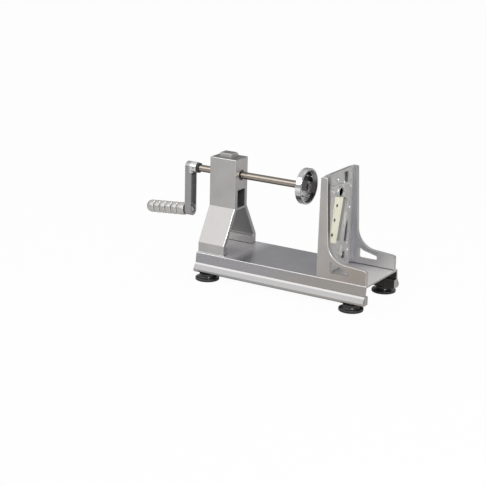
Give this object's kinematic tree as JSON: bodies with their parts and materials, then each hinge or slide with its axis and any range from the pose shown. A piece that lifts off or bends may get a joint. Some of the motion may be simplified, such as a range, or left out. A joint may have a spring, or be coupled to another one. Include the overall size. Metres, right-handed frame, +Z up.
{
  "type": "hand cranked spiralizer",
  "caption": "Counter-top spiral vegetable cutter: a cranked shaft slides and turns in a post on a channel base and presses the food on an upright blade plate.",
  "frame": {"origin": "on the surface the feet stand on, under the middle of the overall length, on the mid-plane", "axes": "+X from the crank towards the blade plate, +Y across the base to the far side, +Z up"},
  "size_m": [0.5456, 0.188, 0.2484],
  "materials": {
    "cast_aluminium": "satin bead-blasted casting",
    "rail_aluminium": "brushed satin extrusion",
    "arm_aluminium": "satin casting",
    "grip_aluminium": "satin turned",
    "black_rubber": "soft sheen",
    "dark_nylon": "matte",
    "polished_steel": "polished",
    "chromed_casting": "mirror polished",
    "zinc_steel": "zinc plated",
    "blade_steel": "ground",
    "cream_nylon": "smooth matte",
    "dark_steel": "dark oxide"
  },
  "bodies": {
    "base": {"base_rail": "rail_aluminium", "drive_post": "cast_aluminium", "post_cap_block": "cast_aluminium", "left_shaft_bush": "dark_nylon", "right_shaft_bush": "dark_nylon", "post_screws": "zinc_steel", "front_side_bracket": "cast_aluminium", "rear_side_bracket": "cast_aluminium", "bracket_screws": "zinc_steel", "front_left_foot": "black_rubber", "front_right_foot": "black_rubber", "rear_left_foot": "black_rubber", "rear_right_foot": "black_rubber", "foot_studs": "zinc_steel"},
    "slide_ring": {"bumper_washer": "dark_nylon"},
    "crank_shaft": {"drive_shaft": "polished_steel", "crank_arm": "arm_aluminium", "crank_pin": "polished_steel", "grip_spindle": "polished_steel", "spindle_nut": "zinc_steel", "grip_washer": "dark_nylon", "food_holder": "chromed_casting", "holder_prongs": "polished_steel", "holder_screw": "polished_steel"},
    "crank_grip": {"grip": "grip_aluminium"},
    "plate": {"blade_plate": "cast_aluminium", "slicing_blade": "blade_steel", "blade_screws": "blade_steel", "scoring_comb": "blade_steel", "clamp_strip": "cream_nylon", "strip_screws": "dark_steel", "core_tube": "blade_steel"}
  },
  "joints": [
    {"name": "shaft_slide", "type": "slide", "parent": "base", "child": "slide_ring", "axis": [1, 0, 0], "range_m": [-0.1355, 0.038]},
    {"name": "crank_turn", "type": "hinge", "parent": "slide_ring", "child": "crank_shaft", "pos_m": [0, 0, 0.2054], "axis": [1, 0, 0], "continuous": true},
    {"name": "grip_spin", "type": "hinge", "parent": "crank_shaft", "child": "crank_grip", "pos_m": [-0.22598, 0, 0.11022], "axis": [0.9965, 0, 0.0837], "continuous": true},
    {"name": "blade_plate_lift", "type": "slide", "parent": "base", "child": "plate", "axis": [0, 0, 1], "range_m": [0, 0.2]}
  ]
}
